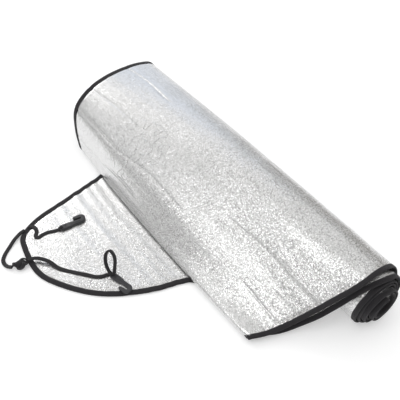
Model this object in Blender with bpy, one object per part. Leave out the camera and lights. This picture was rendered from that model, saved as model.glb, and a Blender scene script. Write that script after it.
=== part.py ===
"""Windscreen frost cover, folded double and loosely rolled, with one ear lying out.

Every sheet piece is modelled flat, as it was cut: u runs along the cover, v across it and
the third coordinate is the height above the middle of the foam. The flat solids are then
split along the fold stations and laid into shape by one map, so the foam and its binding
bend together. Lengths are in metres, +Z up. The roll's axis lies along +Y.
"""
import math

import bmesh
import bpy
import numpy
from mathutils import Matrix, Vector

# Sheet and binding
FOAM_THICKNESS = 0.0032
TAPE_WALL = 0.0005
TAPE_WIDTH = 0.0105
CLEARANCE = 0.0003
RAMP_WIDTH = 0.0025

# Roll: the outer layer's radius at the top, and how far apart the layers lie
ROLL_TOP_RADIUS = 0.0548
ROLL_LAYER_SPACING = 0.0053
ROLL_CENTRE_X = -0.0105
ROLL_STEP = 30.0
ROLL_STEPS = 34
JOIN_ANGLE = 60.0
FLAT_SPOT_ANGLE = 14.0

# Drape: spacing of the layers, and the fold that turns the upper half under
DRAPE_LAYER_SPACING = 0.0058
FOLD_BULGE = 0.009
GAP_OPEN_BY = 0.3
DRAPE_STEPS = 13
TUCK_STEPS = 11
FOLD_STEPS = 8
BEND_STEPS = 3
EAR_STEPS = 4
DRAPE_CURVE_STEP = 0.004

# Middle of the cover: how much higher the drape stands than at its edges
CROWN = Vector((0.002, 0.005))
CROWN_SHARES = (0.7, 1.0, 0.9, 0.5, 0.2, 0.0, 0.0, 0.0)

# Upper layer from the roll to the fold, as (x, z), at the near and at the far edge
DRAPE_NEAR = (
    (0.0220, 0.1050), (-0.0040, 0.1170), (-0.0390, 0.1100), (-0.0760, 0.0800),
    (-0.1150, 0.0450), (-0.1470, 0.0215), (-0.1740, 0.0136), (-0.2000, 0.0134),
)
DRAPE_FAR = (
    (0.0250, 0.1060), (-0.0090, 0.1215), (-0.0550, 0.1300), (-0.1050, 0.1322),
    (-0.1530, 0.1235), (-0.1890, 0.1000), (-0.2005, 0.0560), (-0.2005, 0.0120),
)
NEAR_END_HEADING = (-0.028, 0.0)
FAR_END_HEADING = (0.0, -0.044)
BEND_REACH = 0.012
SIDE_OFFSET = 0.003

# Places across the cover: where the drape has its near and its far shape, the lines between
# which its shape is blended, and how far out the map reaches
NEAR_SHAPE_V = -0.33
FAR_SHAPE_V = 0.32
MORPH_LINES = (-0.30, -0.19, -0.08, 0.03, 0.14, 0.25)
OUTER_V = 0.45

# Ear and panel outline. u is the distance past the panel's side, positive towards the
# ear's tip, and v is the place across the cover
EAR_LENGTH = 0.229
SIDE_X = -0.200
FOLD_TO_SIDE = 0.025
NEAR_OUTLINE = (
    (-0.620, -0.3820), (-0.450, -0.3755), (-0.265, -0.3690), (-0.232, -0.3660),
    (-0.165, -0.3450), (-0.095, -0.3210), (-0.047, -0.3050), (-0.025, -0.2940),
    (-0.012, -0.2810), (-0.0035, -0.2580), (0.000, -0.2200), (0.001, -0.1830),
    (0.005, -0.1560), (0.018, -0.1420), (0.082, -0.1205), (0.156, -0.0775),
    (0.205, -0.0200), (0.229, 0.0320),
)
# How much nearer the front the lower half's near edge lies, by the distance from its side
LOWER_HALF_REACH = (
    (0.000, 0.0000), (0.025, 0.0090), (0.100, 0.0215), (0.170, 0.0195), (0.240, 0.0165),
    (0.450, 0.0070), (0.800, 0.0000),
)
FAR_OUTLINE = (
    (0.225, 0.1060), (0.217, 0.1300), (0.183, 0.1540), (0.080, 0.1770),
    (0.015, 0.1920), (0.004, 0.2020), (0.001, 0.2260), (-0.002, 0.2550),
    (-0.010, 0.2720), (-0.025, 0.2830), (-0.050, 0.2910), (-0.100, 0.3040),
    (-0.160, 0.3170), (-0.220, 0.3290), (-0.280, 0.3400), (-0.340, 0.3490),
    (-0.450, 0.3560), (-0.620, 0.3650),
)
CORE_EDGES = (-0.3960, 0.3740)
# Points of the two tables where the ear's binding meets the panel's
NEAR_JOINT = 10
FAR_JOINT = 6
EDGE_STEP = 0.120
EAR_EDGE_STEP = 0.040
SIDE_STEP = 0.012
SIDE_REACH = 0.020

# Flat elastic, knot and hooks
STRAP_WIDTH = 0.0065
STRAP_THICKNESS = 0.0016
STRAP_STEP = 0.0075
STRAP_EDGE_SHARE = 0.6
KNOT_SIZE = (0.0280, 0.0200, 0.0130)
KNOT_TURN = -10.0
HOOK_LENGTH = 0.050
HOOK_THICKNESS = 0.0040
HOOK_BODY_WIDTH = 0.0100
HOOK_BODY_LENGTH = 0.0200
HOOK_SHANK_WIDTH = 0.0050
HOOK_THROAT = 0.0068
HOOK_TIP_LENGTH = 0.0100
HOOK_EDGE = 0.0006
HOOK_CORNER = 0.0012
HOOK_TAPER_LENGTH = 0.0090
HOOK_TAPER_SHARE = 0.78
HOOK_BEND_STEPS = 10
HOOK_TIP_SHARE = 0.7
HOOK_NOSE_SHARE = 0.6
SLOT_LENGTH = 0.0072
SLOT_WIDTH = 0.0024
SLOT_BAR = 0.0022

HALF_FOAM = FOAM_THICKNESS / 2
SQUEEZED_HALF = HALF_FOAM - TAPE_WALL - CLEARANCE
ROLL_PITCH = 2 * ROLL_LAYER_SPACING
ROLL_CENTRE_Z = ROLL_TOP_RADIUS - ROLL_PITCH / 2 + HALF_FOAM
CORE_ANGLE = JOIN_ANGLE + ROLL_STEP * ROLL_STEPS
LAID = FOAM_THICKNESS + CLEARANCE + STRAP_THICKNESS / 2

# Routes of the elastic, from where each leaves the binding or the knot
KNOT_PLACE = (-0.4382, 0.0663, 0.0090)
STRAPS = (
    ("tip_loop_strap", (
        (-0.3985, 0.1400, LAID), (-0.4065, 0.1385, LAID), (-0.4140, 0.1350, LAID),
        (-0.4230, 0.1300, LAID), (-0.4371, 0.1208, 0.0026), (-0.4520, 0.1090, 0.0013),
        (-0.4595, 0.0990, 0.0012), (-0.4610, 0.0890, 0.0018), (-0.4585, 0.0785, 0.0040),
        (-0.4528, 0.0696, 0.0076),
    ), None),
    ("lower_hook_strap", (
        (-0.4224, 0.0664, 0.0098), (-0.4108, 0.0608, 0.0108), (-0.4014, 0.0514, 0.0103),
        (-0.3935, 0.0395, 0.0085), (-0.3865, 0.0206, 0.0055), (-0.3717, -0.0001, LAID),
        (-0.3541, -0.0207, LAID), (-0.3401, -0.0371, LAID), (-0.3310, -0.0418, LAID),
        (-0.3245, -0.0435, LAID), (-0.3205, -0.0445, LAID), (-0.3179, -0.0470, LAID),
    ), None),
    ("lower_hook_loop", (
        (-0.3177, -0.0523, 0.0099), (-0.3196, -0.0450, 0.0155), (-0.3190, -0.0371, 0.0237),
        (-0.3160, -0.0305, 0.0321), (-0.3106, -0.0265, 0.0398), (-0.3045, -0.0274, 0.0433),
        (-0.3017, -0.0330, 0.0398), (-0.3023, -0.0397, 0.0329), (-0.3057, -0.0452, 0.0252),
        (-0.3103, -0.0498, 0.0176), (-0.3143, -0.0540, 0.0099),
    ), (-0.455, -0.621, 0.644)),
    ("upper_hook_strap", (
        (-0.3895, 0.1440, LAID), (-0.3820, 0.1380, 0.0055), (-0.3797, 0.1290, 0.0065),
        (-0.3830, 0.1210, 0.0052), (-0.3868, 0.1160, LAID), (-0.3880, 0.1112, LAID),
        (-0.3840, 0.1082, LAID), (-0.3770, 0.1095, LAID), (-0.3645, 0.1090, LAID),
        (-0.3530, 0.1045, LAID), (-0.3424, 0.1024, LAID),
    ), None),
)
HOOKS = (
    ("upper_hook", (-0.3410, 0.1022), -7.5, 1),
    ("lower_hook", (-0.3172, -0.0497), -74.0, -1),
)


def clear_scene():
    for item in list(bpy.data.objects):
        bpy.data.objects.remove(item, do_unlink=True)


def make_collection(name):
    group = bpy.data.collections.new(name)
    bpy.context.scene.collection.children.link(group)
    return group


def make_material(name, colour, roughness, metallic=0.0):
    material = bpy.data.materials.new(name)
    material.use_nodes = True
    shader = material.node_tree.nodes["Principled BSDF"]
    shader.inputs["Base Color"].default_value = (*colour, 1.0)
    shader.inputs["Roughness"].default_value = roughness
    shader.inputs["Metallic"].default_value = metallic
    return material


def lerp(a, b, t):
    return a + (b - a) * t


def catmull_point(p0, p1, p2, p3, t):
    """A point on the centripetal curve between p1 and p2."""
    times = [0.0]
    for a, b in ((p0, p1), (p1, p2), (p2, p3)):
        times.append(times[-1] + max((b - a).length, 1e-9) ** 0.5)
    at = lerp(times[1], times[2], t)

    def blend(a, b, start, end):
        return a + (b - a) * ((at - start) / (end - start))

    a1 = blend(p0, p1, times[0], times[1])
    a2 = blend(p1, p2, times[1], times[2])
    a3 = blend(p2, p3, times[2], times[3])
    b1 = blend(a1, a2, times[0], times[2])
    b2 = blend(a2, a3, times[1], times[3])
    return blend(b1, b2, times[1], times[2])


def smooth_curve(points, step, closed=False):
    """Points at most a step apart on a smooth curve through the given points."""
    count = len(points)
    found = []
    for index in range(count if closed else count - 1):
        if closed:
            p0, p1, p2, p3 = (points[(index + k) % count] for k in (-1, 0, 1, 2))
        else:
            p1, p2 = points[index], points[index + 1]
            p0 = points[index - 1] if index > 0 else p1 * 2 - p2
            p3 = points[index + 2] if index + 2 < count else p2 * 2 - p1
        pieces = max(1, math.ceil((p2 - p1).length / (step(p1, p2) if callable(step) else step)))
        found += [catmull_point(p0, p1, p2, p3, k / pieces) for k in range(pieces)]
    if not closed:
        found.append(points[-1].copy())
    return found


def running_lengths(points):
    lengths = [0.0]
    for a, b in zip(points, points[1:]):
        lengths.append(lengths[-1] + (b - a).length)
    return lengths


def point_at(points, lengths, distance):
    """The point and the heading at a distance along a run of points."""
    index = 0
    while index < len(points) - 2 and lengths[index + 1] < distance:
        index += 1
    span = lengths[index + 1] - lengths[index]
    t = (distance - lengths[index]) / span
    return points[index].lerp(points[index + 1], t), (points[index + 1] - points[index]).normalized()


def outer_side(heading):
    """The side of the sheet that faces out on the upper layer."""
    return Vector((heading.y, -heading.x))


def roll_point(angle, inward):
    """A point of the roll's spiral. The angle runs clockwise from the top, in degrees."""
    radius = ROLL_TOP_RADIUS - ROLL_PITCH * angle / 360 - inward
    a = math.radians(angle)
    point = Vector((ROLL_CENTRE_X + radius * math.sin(a), ROLL_CENTRE_Z + radius * math.cos(a)))
    if inward == 0 and abs(angle - 180) <= FLAT_SPOT_ANGLE:
        point.y = HALF_FOAM
    return point


def roll_angles():
    """Stations of the spiral from the core out, with the flat spot's two edges."""
    angles = [CORE_ANGLE - ROLL_STEP * k for k in range(ROLL_STEPS + 1)]
    kept = [a for a in angles if abs(a - 180) > FLAT_SPOT_ANGLE]
    return sorted(kept + [180 + FLAT_SPOT_ANGLE, 180 - FLAT_SPOT_ANGLE], reverse=True)


def core_turn():
    """The middle of the cover, turned back on itself inside the roll."""
    half = ROLL_LAYER_SPACING / 2
    a = math.radians(CORE_ANGLE)
    radial = Vector((math.sin(a), math.cos(a)))
    onward = Vector((math.cos(a), -math.sin(a)))
    centre = roll_point(CORE_ANGLE, half)
    turned = []
    for k in range(1, FOLD_STEPS):
        t = math.pi * k / FOLD_STEPS
        turned.append(centre - radial * half * math.cos(t) + onward * half * math.sin(t))
    return turned


def drape_curve(w):
    """The upper layer from the roll to the fold, w of the way from the near edge to the far."""
    bulge = FOLD_BULGE * 4 * w * (1 - w)
    last = len(DRAPE_NEAR) - 1
    points = [roll_point(JOIN_ANGLE, 0)]
    for k, (near, far) in enumerate(zip(DRAPE_NEAR, DRAPE_FAR)):
        point = Vector(near).lerp(Vector(far), w)
        point.x -= bulge * max(0.0, (k - last + 3) / 3)
        point += CROWN * 4 * w * (1 - w) * CROWN_SHARES[k]
        points.append(point)
    before = roll_point(JOIN_ANGLE + ROLL_STEP, 0)
    heading = Vector(NEAR_END_HEADING).lerp(Vector(FAR_END_HEADING), w)
    run = smooth_curve([before] + points + [points[-1] + heading], DRAPE_CURVE_STEP)
    start = min(range(len(run)), key=lambda k: (run[k] - points[0]).length)
    end = min(range(len(run)), key=lambda k: (run[k] - points[-1]).length)
    return run[start:end + 1]


def layer_gap(fraction):
    """Distance from the upper to the lower layer, which narrows towards the roll."""
    return lerp(ROLL_LAYER_SPACING, 2 * DRAPE_LAYER_SPACING, min(1.0, fraction / GAP_OPEN_BY))


def bezier(p0, p1, p2, p3, t):
    return p0 * (1 - t) ** 3 + p1 * 3 * t * (1 - t) ** 2 + p2 * 3 * t * t * (1 - t) + p3 * t ** 3


def section(w):
    """The sheet's middle line in the XZ plane, from the loose ear's tip to the tucked one's.

    Returns the points, and the index of the loose ear's side and of the fold.
    """
    run = drape_curve(w)
    lengths = running_lengths(run)
    total = lengths[-1]
    upper, lower = [], []
    for k in range(DRAPE_STEPS + 1):
        fraction = k / DRAPE_STEPS
        point, heading = point_at(run, lengths, total * fraction)
        upper.append(point)
        under = point - outer_side(heading) * layer_gap(fraction)
        under.y = max(under.y, HALF_FOAM)
        lower.append(under)
    end, heading = point_at(run, lengths, total)
    side = outer_side(heading)
    half = DRAPE_LAYER_SPACING / 2
    centre = end - side * half
    fold = []
    for k in range(1, FOLD_STEPS + 1):
        t = math.pi * k / FOLD_STEPS
        fold.append(centre + side * half * math.cos(t) + heading * half * math.sin(t))
    tucked = []
    for k in range(DRAPE_STEPS - 1, DRAPE_STEPS - 1 - TUCK_STEPS, -1):
        fraction = k / DRAPE_STEPS
        point, heading_there = point_at(run, lengths, total * fraction)
        tucked.append(point - outer_side(heading_there) * layer_gap(fraction) / 2)
    floor_point = Vector((lower[-1].x - BEND_REACH, HALF_FOAM))
    bend = []
    for k in range(1, BEND_STEPS + 1):
        pulled = lower[-1] + heading * BEND_REACH / 2
        pulled.y = max(pulled.y, HALF_FOAM)
        held = floor_point + Vector((BEND_REACH / 2, 0))
        bend.append(bezier(lower[-1], pulled, held, floor_point, k / BEND_STEPS))
    tip = Vector((SIDE_X - EAR_LENGTH, HALF_FOAM))
    ear = [floor_point.lerp(tip, k / EAR_STEPS) for k in range(1, EAR_STEPS + 1)]
    roll = roll_angles()
    inner_roll = [roll_point(a, ROLL_LAYER_SPACING) for a in reversed(roll)]
    outer_roll = [roll_point(a, 0) for a in roll]
    path = ear[::-1] + bend[::-1] + lower[:0:-1] + inner_roll + core_turn()
    path += outer_roll + upper[1:] + fold + tucked
    loose_side = len(ear) + len(bend)
    core = loose_side + DRAPE_STEPS + len(roll) - 1 + FOLD_STEPS // 2
    fold_at = len(path) - TUCK_STEPS - (FOLD_STEPS + 1) // 2
    return path, loose_side, core, fold_at


class FoldMap:
    """Lays flat points (u, v, height) into the folded and rolled cover."""

    def __init__(self):
        self.lines = (-OUTER_V,) + MORPH_LINES + (OUTER_V,)
        self.rows = []
        for v in self.lines:
            w = min(1.0, max(0.0, (v - NEAR_SHAPE_V) / (FAR_SHAPE_V - NEAR_SHAPE_V)))
            path, loose_side, core, fold_at = section(w)
            self.rows.append((path, self.mitred_sides(path)))
        middle, loose_side, core, fold_at = section(0.5)
        self.u = running_lengths(middle)
        self.loose_side = self.u[loose_side] + SIDE_OFFSET
        self.core = self.u[core]
        self.drapes = (
            (self.u[loose_side - BEND_STEPS - 1], self.u[loose_side + DRAPE_STEPS + 1]),
            (self.u[2 * core - loose_side - DRAPE_STEPS - 1], self.u[-1]),
        )
        self.tucked_side = self.u[fold_at] + FOLD_TO_SIDE

    def mitred_sides(self, path):
        """Outer side at each station, long enough that the sheet keeps its thickness."""
        sides = []
        for k in range(len(path)):
            before = (path[k] - path[k - 1]).normalized() if k else None
            after = (path[k + 1] - path[k]).normalized() if k + 1 < len(path) else None
            first = outer_side(before or after)
            second = outer_side(after or before)
            whole = first + second
            sides.append(whole / (1 + first.dot(second)))
        return sides

    def place(self, u, v, height):
        column = 0
        while column < len(self.u) - 2 and self.u[column + 1] < u:
            column += 1
        s = (u - self.u[column]) / (self.u[column + 1] - self.u[column])
        line = 0
        while line < len(self.lines) - 2 and self.lines[line + 1] < v:
            line += 1
        t = (v - self.lines[line]) / (self.lines[line + 1] - self.lines[line])
        found = []
        for path, sides in (self.rows[line], self.rows[line + 1]):
            middle = path[column].lerp(path[column + 1], s)
            side = sides[column].lerp(sides[column + 1], s)
            found.append(middle + side * height)
        point = found[0].lerp(found[1], t)
        return Vector((point.x, v, point.y))

    def in_drapes(self, mesh):
        """The part of a flat bmesh where the sheet's section changes across the cover."""
        faces = []
        for face in mesh.faces:
            middle = face.calc_center_median().x
            if any(start < middle < end for start, end in self.drapes):
                faces.append(face)
        edges = {edge for face in faces for edge in face.edges}
        return list({vertex for edge in edges for vertex in edge.verts}) + list(edges) + faces

    def fold(self, mesh):
        """Splits a flat bmesh along the stations and lays it in place."""
        low = min(v.co.x for v in mesh.verts)
        high = max(v.co.x for v in mesh.verts)
        cuts = [((u, 0, 0), (1, 0, 0)) for u in self.u if low + 1e-5 < u < high - 1e-5]
        cuts += [((0, v, 0), (0, 1, 0)) for v in MORPH_LINES]
        for place, direction in cuts:
            geometry = mesh.verts[:] + mesh.edges[:] + mesh.faces[:]
            if direction[1]:
                geometry = self.in_drapes(mesh)
            bmesh.ops.bisect_plane(mesh, geom=geometry, dist=1e-6, plane_co=place, plane_no=direction)
        for vertex in mesh.verts:
            vertex.co = self.place(*vertex.co)


def cover_outline(fold_map):
    """The flat cover's edge, from the loose ear's side of the core right round."""
    def step(a, b):
        """The edge is cut finer along the panel's sides, for the sheet twists there."""
        middle = (a.x + b.x) / 2
        off_side = min(abs(middle - fold_map.loose_side), abs(middle - fold_map.tucked_side))
        on_ear = middle < fold_map.loose_side or middle > fold_map.tucked_side
        if off_side < SIDE_REACH:
            return SIDE_STEP
        return EAR_EDGE_STEP if on_ear else EDGE_STEP

    near = [Vector(p) for p in NEAR_OUTLINE]
    far = [Vector(p) for p in FAR_OUTLINE]
    tucked = [Vector((fold_map.tucked_side + p.x, p.y)) for p in near + far]
    inward = [distance for distance, reach in LOWER_HALF_REACH]
    reaches = [reach for distance, reach in LOWER_HALF_REACH]
    loose = [Vector((fold_map.loose_side - p.x, p.y - numpy.interp(-p.x, inward, reaches))) for p in near]
    loose += [Vector((fold_map.loose_side - p.x, p.y)) for p in far]
    core_near = Vector((fold_map.core, CORE_EDGES[0]))
    core_far = Vector((fold_map.core, CORE_EDGES[1]))
    return smooth_curve([core_near] + tucked + [core_far] + loose[::-1], step, closed=True)


def inward_sides(outline):
    """Mitred directions into the material for each point of the closed outline."""
    count = len(outline)
    sides = []
    for k in range(count):
        first = (outline[k] - outline[k - 1]).normalized()
        second = (outline[(k + 1) % count] - outline[k]).normalized()
        first = Vector((-first.y, first.x))
        second = Vector((-second.y, second.x))
        sides.append((first + second) / (1 + first.dot(second)))
    return sides


def add_object(name, mesh, material, group, smooth_angle=40):
    data = bpy.data.meshes.new(name)
    bmesh.ops.recalc_face_normals(mesh, faces=mesh.faces)
    if mesh.calc_volume(signed=True) < 0:
        bmesh.ops.reverse_faces(mesh, faces=mesh.faces)
    mesh.to_mesh(data)
    mesh.free()
    data.shade_smooth()
    data.set_sharp_from_angle(angle=math.radians(smooth_angle))
    data.materials.append(material)
    item = bpy.data.objects.new(name, data)
    group.objects.link(item)
    return item


def bridge(mesh, first, second, closed):
    count = len(first)
    for k in range(count if closed else count - 1):
        after = (k + 1) % count
        mesh.faces.new((first[k], first[after], second[after], second[k]))


def foam_panel(outline, fold_map, material, group):
    """The foam sheet: full thickness, and squeezed thin where the binding holds its edge."""
    sides = inward_sides(outline)
    under_tape = TAPE_WIDTH + CLEARANCE
    steps = (
        (TAPE_WALL + CLEARANCE, SQUEEZED_HALF),
        (under_tape, SQUEEZED_HALF),
        (under_tape + RAMP_WIDTH, HALF_FOAM),
    )
    mesh = bmesh.new()
    faces = []
    for sign in (1, -1):
        loops = []
        for inset, half in steps:
            flat = [p + s * inset for p, s in zip(outline, sides)]
            loops.append([mesh.verts.new((p.x, p.y, sign * half)) for p in flat])
        bridge(mesh, loops[0], loops[1], closed=True)
        bridge(mesh, loops[1], loops[2], closed=True)
        mesh.faces.new(loops[2])
        faces.append(loops[0])
    bridge(mesh, faces[0], faces[1], closed=True)
    fold_map.fold(mesh)
    return add_object("foil_foam_panel", mesh, material, group)


def nearest_index(points, target):
    return min(range(len(points)), key=lambda k: (points[k] - target).length)


def binding(name, outline, ends, fold_map, material, group):
    """A folded tape that clasps the foam's edge between two places on the outline."""
    start, end = (nearest_index(outline, p) for p in ends)
    count = len(outline)
    span = (end - start) % count
    stretch = [(start + k) % count for k in range(span + 1)]
    all_sides = inward_sides(outline)
    run = [outline[k].copy() for k in stretch]
    sides = [all_sides[k] for k in stretch]
    trim = CLEARANCE / 2
    run[0] += (run[1] - run[0]).normalized() * trim
    run[-1] += (run[-2] - run[-1]).normalized() * trim
    inner = HALF_FOAM - TAPE_WALL
    profile = (
        (TAPE_WIDTH, HALF_FOAM), (0.0, HALF_FOAM), (0.0, -HALF_FOAM), (TAPE_WIDTH, -HALF_FOAM),
        (TAPE_WIDTH, -inner), (TAPE_WALL, -inner), (TAPE_WALL, inner), (TAPE_WIDTH, inner),
    )
    mesh = bmesh.new()
    rings = []
    for point, side in zip(run, sides):
        ring = []
        for inset, height in profile:
            flat = point + side * inset
            ring.append(mesh.verts.new((flat.x, flat.y, height)))
        rings.append(ring)
    for first, second in zip(rings, rings[1:]):
        bridge(mesh, first, second, closed=True)
    mesh.faces.new(rings[0])
    mesh.faces.new(rings[-1])
    fold_map.fold(mesh)
    return add_object(name, mesh, material, group)


def strap(name, route, across, material, group):
    """Flat elastic along a smooth line through its route. It lies flat, or faces across."""
    points = smooth_curve([Vector(p) for p in route], STRAP_STEP)
    half = STRAP_WIDTH / 2
    rise = STRAP_THICKNESS / 2
    flat = half - rise * STRAP_EDGE_SHARE
    profile = ((half, 0.0), (flat, rise), (-flat, rise), (-half, 0.0), (-flat, -rise), (flat, -rise))
    mesh = bmesh.new()
    rings = []
    for k, point in enumerate(points):
        heading = (points[min(k + 1, len(points) - 1)] - points[max(k - 1, 0)]).normalized()
        side = Vector(across) if across else heading.cross(Vector((0, 0, 1)))
        side = (side - heading * side.dot(heading)).normalized()
        up = side.cross(heading)
        rings.append([mesh.verts.new(point + side * x + up * y) for x, y in profile])
    for first, second in zip(rings, rings[1:]):
        bridge(mesh, first, second, closed=True)
    mesh.faces.new(rings[0])
    mesh.faces.new(rings[-1])
    return add_object(name, mesh, material, group)


def hook_outline():
    """Side lines of the hook: a body for the elastic, a tapered shank and a returned claw."""
    half_shank = HOOK_SHANK_WIDTH / 2
    turn = HOOK_THROAT / 2 + half_shank
    turn_x = HOOK_LENGTH - turn - half_shank
    half_body = HOOK_BODY_WIDTH / 2
    taper_end = HOOK_BODY_LENGTH + HOOK_TAPER_LENGTH
    half_widths = (
        (0.0, half_body - HOOK_CORNER),
        (HOOK_CORNER, half_body),
        (HOOK_BODY_LENGTH, half_body),
        (lerp(HOOK_BODY_LENGTH, taper_end, 0.5), half_body * HOOK_TAPER_SHARE),
        (taper_end, half_shank),
    )
    left = [Vector((x, w)) for x, w in half_widths]
    right = [Vector((x, -w)) for x, w in half_widths]
    centre = Vector((turn_x, turn))
    for k in range(HOOK_BEND_STEPS + 1):
        a = math.radians(-90 + 180 * k / HOOK_BEND_STEPS)
        spoke = Vector((math.cos(a), math.sin(a)))
        left.append(centre + spoke * (turn - half_shank))
        right.append(centre + spoke * (turn + half_shank))
    tip_x = turn_x - HOOK_TIP_LENGTH
    tip_y = 2 * turn
    left.append(Vector((tip_x, tip_y - half_shank * HOOK_TIP_SHARE)))
    right.append(Vector((tip_x, tip_y + half_shank * HOOK_TIP_SHARE)))
    nose = Vector((tip_x - half_shank * HOOK_NOSE_SHARE, tip_y))
    return left + [nose] + right[::-1]


def add_closed_spline(data, points):
    spline = data.splines.new("POLY")
    spline.points.add(len(points) - 1)
    for target, point in zip(spline.points, points):
        target.co = (point[0], point[1], 0, 1)
    spline.use_cyclic_u = True


def hook(name, place, heading, claw_side, material, group):
    """A moulded hook that lies flat, with two slots that the elastic is threaded through."""
    data = bpy.data.curves.new(name, "CURVE")
    data.dimensions = "2D"
    data.fill_mode = "BOTH"
    data.extrude = HOOK_THICKNESS / 2 - HOOK_EDGE
    data.bevel_depth = HOOK_EDGE
    data.bevel_resolution = 0
    add_closed_spline(data, [(p.x, p.y * claw_side) for p in hook_outline()])
    for k in range(2):
        low = SLOT_BAR + HOOK_EDGE + k * (SLOT_WIDTH + SLOT_BAR + 2 * HOOK_EDGE)
        high = low + SLOT_WIDTH
        side = SLOT_LENGTH / 2
        add_closed_spline(data, [(low, -side), (high, -side), (high, side), (low, side)])
    data.materials.append(material)
    item = bpy.data.objects.new(name, data)
    item.location = (place[0], place[1], FOAM_THICKNESS + CLEARANCE + HOOK_THICKNESS / 2)
    item.rotation_euler = (0, 0, math.radians(heading))
    group.objects.link(item)
    return item


def knot(name, place, material, group):
    mesh = bmesh.new()
    bmesh.ops.create_icosphere(mesh, subdivisions=2, radius=0.5)
    size = Matrix.Diagonal((*KNOT_SIZE, 1.0))
    turn = Matrix.Rotation(math.radians(KNOT_TURN), 4, "Z")
    bmesh.ops.transform(mesh, matrix=Matrix.Translation(place) @ turn @ size, verts=mesh.verts)
    return add_object(name, mesh, material, group)


def main():
    clear_scene()
    cover = make_collection("windscreen_frost_cover")
    foil = make_material("aluminised_foil", (0.78, 0.79, 0.80), 0.32, 0.9)
    tape = make_material("woven_binding", (0.028, 0.026, 0.030), 0.85)
    elastic = make_material("flat_elastic", (0.022, 0.021, 0.023), 0.8)
    plastic = make_material("moulded_plastic", (0.055, 0.055, 0.058), 0.45)

    fold_map = FoldMap()
    outline = cover_outline(fold_map)
    foam_panel(outline, fold_map, foil, cover)

    loose, tucked = fold_map.loose_side, fold_map.tucked_side
    near_v, far_v = NEAR_OUTLINE[NEAR_JOINT][1], FAR_OUTLINE[FAR_JOINT][1]
    loose_near, loose_far = Vector((loose, near_v)), Vector((loose, far_v))
    tucked_near, tucked_far = Vector((tucked, near_v)), Vector((tucked, far_v))
    runs = (
        ("near_edge_binding", loose_near, tucked_near),
        ("tucked_ear_binding", tucked_near, tucked_far),
        ("far_edge_binding", tucked_far, loose_far),
        ("ear_binding", loose_far, loose_near),
    )
    for name, start, end in runs:
        binding(name, outline, (start, end), fold_map, tape, cover)

    for name, route, across in STRAPS:
        strap(name, route, across, elastic, cover)
    knot("strap_knot", KNOT_PLACE, elastic, cover)
    for name, place, heading, claw_side in HOOKS:
        hook(name, place, heading, claw_side, plastic, cover)


main()
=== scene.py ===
# %% [markdown]
# # A windscreen frost cover
#
# The real thing is a foam sheet faced with shiny foil, bound in black tape, folded double
# and loosely rolled. One rounded ear lies out on the floor, with its elastic straps and two
# plastic hooks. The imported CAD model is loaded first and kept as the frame: every visible
# piece below goes where the CAD says, in metres.

# %% Load the frame
import math

import bmesh
import bpy
import numpy as np
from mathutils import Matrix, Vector, noise
from mathutils.geometry import delaunay_2d_cdt
from mathutils.kdtree import KDTree


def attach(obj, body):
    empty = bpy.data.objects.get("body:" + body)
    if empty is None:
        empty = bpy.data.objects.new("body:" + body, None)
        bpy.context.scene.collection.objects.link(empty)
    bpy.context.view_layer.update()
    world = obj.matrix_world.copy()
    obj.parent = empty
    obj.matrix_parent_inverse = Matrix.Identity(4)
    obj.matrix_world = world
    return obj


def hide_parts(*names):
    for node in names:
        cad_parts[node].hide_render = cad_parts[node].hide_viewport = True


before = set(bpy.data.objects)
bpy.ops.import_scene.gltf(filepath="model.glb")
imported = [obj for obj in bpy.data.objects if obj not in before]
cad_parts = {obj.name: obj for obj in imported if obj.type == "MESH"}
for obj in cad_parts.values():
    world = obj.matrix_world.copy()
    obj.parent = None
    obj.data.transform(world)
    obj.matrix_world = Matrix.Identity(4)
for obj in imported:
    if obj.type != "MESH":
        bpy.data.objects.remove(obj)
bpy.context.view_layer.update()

# %% [markdown]
# The camera is placed from the photograph: it looks down at 46 degrees, from the side of the
# ear. A 50 mm lens on a 36 mm sensor gives the same mild perspective. Depth of field stays
# off, so that the model can be looked at from any side.

# %% Camera
CAMERA_PLACE = Vector((-0.539, -0.617, 0.817))
CAMERA_HEADING = Vector((0.4076, 0.5565, -0.7242))

lens = bpy.data.cameras.new("camera")
lens.sensor_width = 36.0
lens.lens = 50.4
lens.clip_start = 0.05
camera = bpy.data.objects.new("camera", lens)
camera.location = CAMERA_PLACE
camera.rotation_mode = "QUATERNION"
camera.rotation_quaternion = CAMERA_HEADING.to_track_quat("-Z", "Y")
bpy.context.scene.collection.objects.link(camera)
bpy.context.scene.camera = camera
print("lens", lens.lens, "mm, looking down", round(math.degrees(math.asin(-CAMERA_HEADING.z)), 1))

# %% [markdown]
# Three small helpers make the materials. Colours are written as sRGB hex, as a colour picker
# shows them, and turned to the linear values that Blender renders with. One function adds a
# shader node with its settings and links, and one starts a material.

# %% Material helpers
def linear(hex_colour):
    """The linear colour of an sRGB hex value."""
    found = []
    for k in (0, 2, 4):
        c = int(hex_colour[k:k + 2], 16) / 255
        found.append(c / 12.92 if c <= 0.04045 else ((c + 0.055) / 1.055) ** 2.4)
    return (*found, 1.0)


def add_node(tree, kind, settings=None, **inputs):
    """Adds a shader node. Inputs are values or the outputs of other nodes, by name or index."""
    node = tree.nodes.new(kind)
    for name, value in (settings or {}).items():
        setattr(node, name, value)
    for name, value in inputs.items():
        key = int(name[1:]) if name[0] == "_" and name[1:].isdigit() else name.replace("_", " ")
        socket = node.inputs[key]
        if isinstance(value, bpy.types.NodeSocket):
            tree.links.new(value, socket)
        else:
            socket.default_value = value
    return node


def new_material(name):
    material = bpy.data.materials.new(name)
    material.use_nodes = True
    tree = material.node_tree
    return material, tree, tree.nodes["Principled BSDF"]


print("white is", linear("ffffff"), "and mid grey", round(linear("808080")[0], 3))

# %% [markdown]
# The elastic is a flat woven tape of rubber cores wrapped in polyester yarn. It is dull, and
# shows fine ribs along its length, about 0.8 mm apart, with a slight twist of yarn across
# them. The shader draws both from the strap's own coordinates, which are in metres, so the
# ribs follow every bend.

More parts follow.
